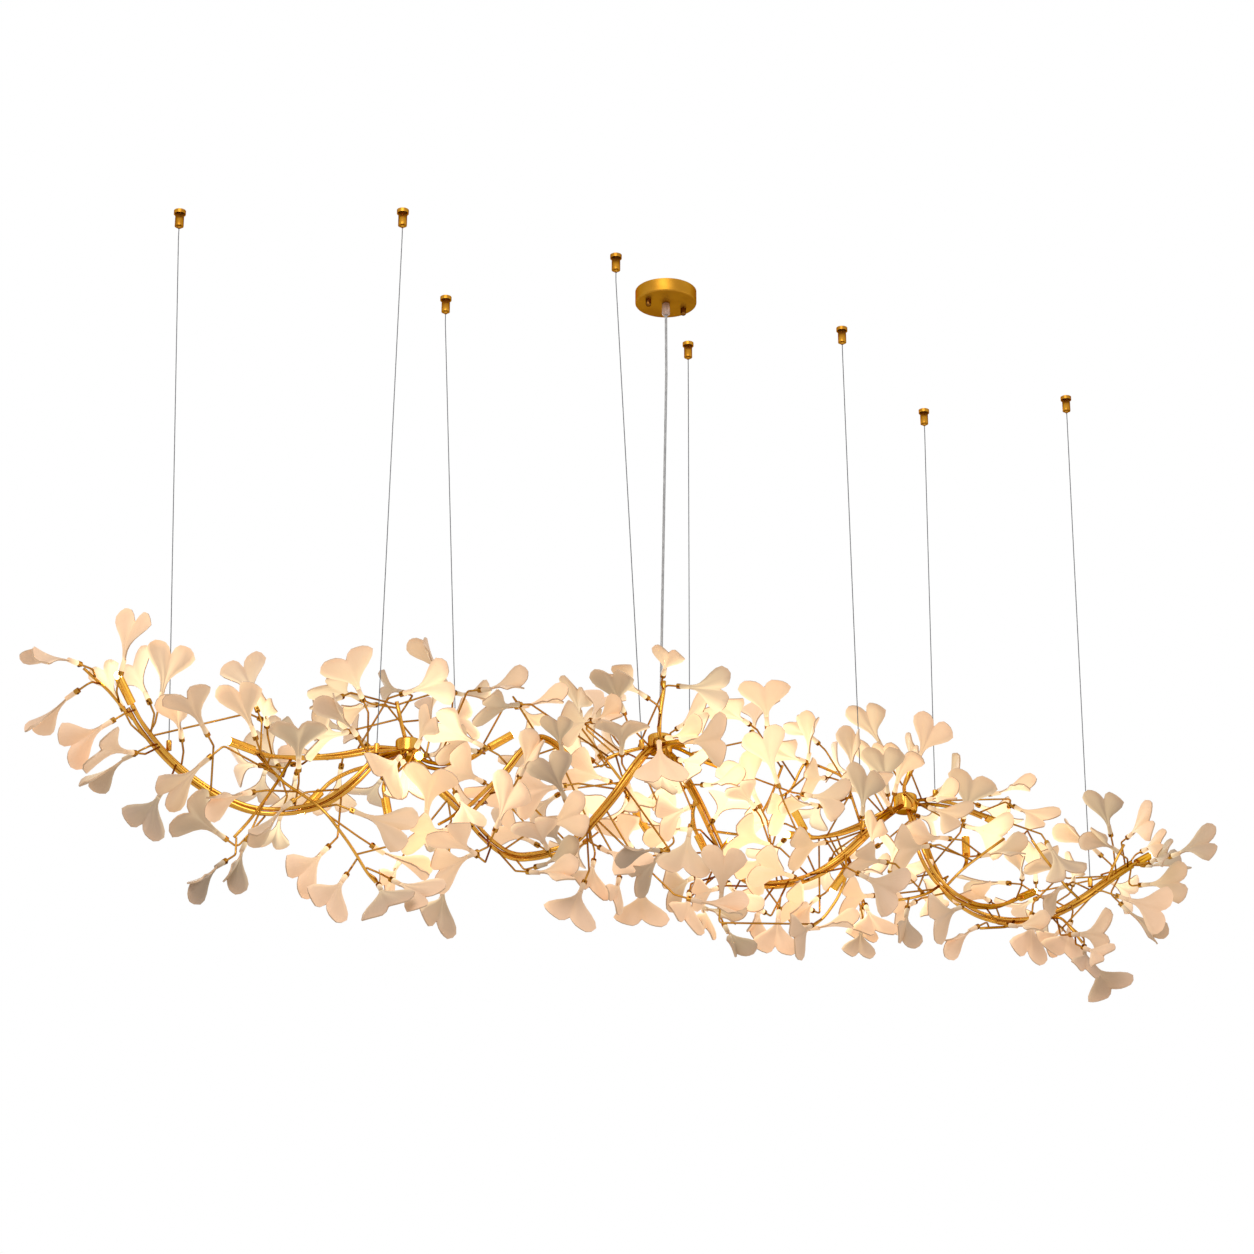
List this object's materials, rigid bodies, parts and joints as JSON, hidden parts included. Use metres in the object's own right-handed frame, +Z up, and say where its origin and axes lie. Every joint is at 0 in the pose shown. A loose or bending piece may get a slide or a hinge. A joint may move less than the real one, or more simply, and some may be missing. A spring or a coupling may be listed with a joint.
{
  "type": "linear pendant light",
  "caption": "Long hanging light of curved brass stems between hubs, with porcelain fan leaves on twigs, capsule lamps, steel cables with ceiling grippers and a round canopy with a power cord",
  "frame": {"origin": "the middle of the canopy bracket's top face, on the ceiling", "axes": "+Z up to the ceiling, +X along the light to the right as pictured, +Y away from the viewer"},
  "size_m": [2.1286, 0.505, 1.1577],
  "materials": {
    "brass": "polished, warm gold",
    "steel": "plain zinc",
    "cable_steel": "stranded wire",
    "porcelain": "satin bisque with a thin golden rim",
    "white_plastic": "moulded",
    "clear_plastic": "translucent",
    "clear_cord": "clear jacket over two bright conductors",
    "lampholder_ceramic": "plain",
    "lamp_glass": "clear",
    "lamp_light": "glowing warm white",
    "lead_insulation": "silicone sleeve"
  },
  "bodies": {
    "ceiling": {"canopy_bracket": "steel", "canopy_studs": "steel", "terminal_block": "white_plastic", "terminal_screws": "steel", "ceiling_caps": "brass", "gripper_barrels": "brass", "gripper_balls": "steel", "gripper_springs": "steel", "suspension_cable_1": "cable_steel", "suspension_cable_2": "cable_steel", "suspension_cable_3": "cable_steel", "suspension_cable_4": "cable_steel", "suspension_cable_5": "cable_steel", "suspension_cable_6": "cable_steel", "suspension_cable_7": "cable_steel", "suspension_cable_8": "cable_steel", "power_cord": "clear_cord"},
    "canopy": {"canopy_cover": "brass", "cord_grip": "clear_plastic", "grip_nut": "steel"},
    "nut_left": {"cap_nut_left": "brass"},
    "nut_right": {"cap_nut_right": "brass"},
    "light": {"hub_left": "brass", "hub_middle": "brass", "hub_right": "brass", "arc_left": "brass", "arc_middle": "brass", "arc_right": "brass", "arc_end": "brass", "spray_left": "brass", "spray_middle": "brass", "spray_hub": "brass", "spray_right": "brass", "spray_end": "brass", "branches": "brass", "twigs_left": "brass", "twigs_middle": "brass", "twigs_right": "brass", "twigs_end": "brass", "leaf_collars": "brass", "cable_anchors": "brass", "socket_tubes": "brass", "leaves_open": "porcelain", "leaves_broad": "porcelain", "leaves_folded": "porcelain", "leaves_small": "porcelain", "collar_screws": "steel", "lampholders": "lampholder_ceramic", "bulb_globes": "lamp_glass", "bulb_sticks": "lamp_light", "bulb_pins": "steel", "lamp_leads": "lead_insulation"},
    "nose_1": {"gripper_nose_1": "brass"},
    "nose_2": {"gripper_nose_2": "brass"},
    "nose_3": {"gripper_nose_3": "brass"},
    "nose_4": {"gripper_nose_4": "brass"},
    "nose_5": {"gripper_nose_5": "brass"},
    "nose_6": {"gripper_nose_6": "brass"},
    "nose_7": {"gripper_nose_7": "brass"},
    "nose_8": {"gripper_nose_8": "brass"}
  },
  "joints": [
    {"name": "canopy_drop", "type": "slide", "parent": "ceiling", "child": "canopy", "axis": [0, 0, -1], "range_m": [0, 0.1]},
    {"name": "nut_left_turn", "type": "hinge", "parent": "canopy", "child": "nut_left", "pos_m": [-0.033, 0, -0.028], "axis": [0, 0, 1], "continuous": true},
    {"name": "nut_right_turn", "type": "hinge", "parent": "canopy", "child": "nut_right", "pos_m": [0.033, 0, -0.028], "axis": [0, 0, 1], "continuous": true},
    {"name": "release_1", "type": "slide", "parent": "ceiling", "child": "nose_1", "axis": [0, 0, 1], "range_m": [0, 0.0025], "stiffness_N_per_m": 800, "springref_m": -0.0005, "deforming": ["gripper_springs"]},
    {"name": "release_2", "type": "slide", "parent": "ceiling", "child": "nose_2", "axis": [0, 0, 1], "range_m": [0, 0.0025], "stiffness_N_per_m": 800, "springref_m": -0.0005, "deforming": ["gripper_springs"]},
    {"name": "release_3", "type": "slide", "parent": "ceiling", "child": "nose_3", "axis": [0, 0, 1], "range_m": [0, 0.0025], "stiffness_N_per_m": 800, "springref_m": -0.0005, "deforming": ["gripper_springs"]},
    {"name": "release_4", "type": "slide", "parent": "ceiling", "child": "nose_4", "axis": [0, 0, 1], "range_m": [0, 0.0025], "stiffness_N_per_m": 800, "springref_m": -0.0005, "deforming": ["gripper_springs"]},
    {"name": "release_5", "type": "slide", "parent": "ceiling", "child": "nose_5", "axis": [0, 0, 1], "range_m": [0, 0.0025], "stiffness_N_per_m": 800, "springref_m": -0.0005, "deforming": ["gripper_springs"]},
    {"name": "release_6", "type": "slide", "parent": "ceiling", "child": "nose_6", "axis": [0, 0, 1], "range_m": [0, 0.0025], "stiffness_N_per_m": 800, "springref_m": -0.0005, "deforming": ["gripper_springs"]},
    {"name": "release_7", "type": "slide", "parent": "ceiling", "child": "nose_7", "axis": [0, 0, 1], "range_m": [0, 0.0025], "stiffness_N_per_m": 800, "springref_m": -0.0005, "deforming": ["gripper_springs"]},
    {"name": "release_8", "type": "slide", "parent": "ceiling", "child": "nose_8", "axis": [0, 0, 1], "range_m": [0, 0.0025], "stiffness_N_per_m": 800, "springref_m": -0.0005, "deforming": ["gripper_springs"]},
    {"name": "height_adjust", "type": "slide", "parent": "ceiling", "child": "light", "axis": [0, 0, 1], "range_m": [0, 0.25], "deforming": ["suspension_cable_1", "suspension_cable_2", "suspension_cable_3", "suspension_cable_4", "suspension_cable_5", "suspension_cable_6", "suspension_cable_7", "suspension_cable_8", "power_cord"]}
  ]
}
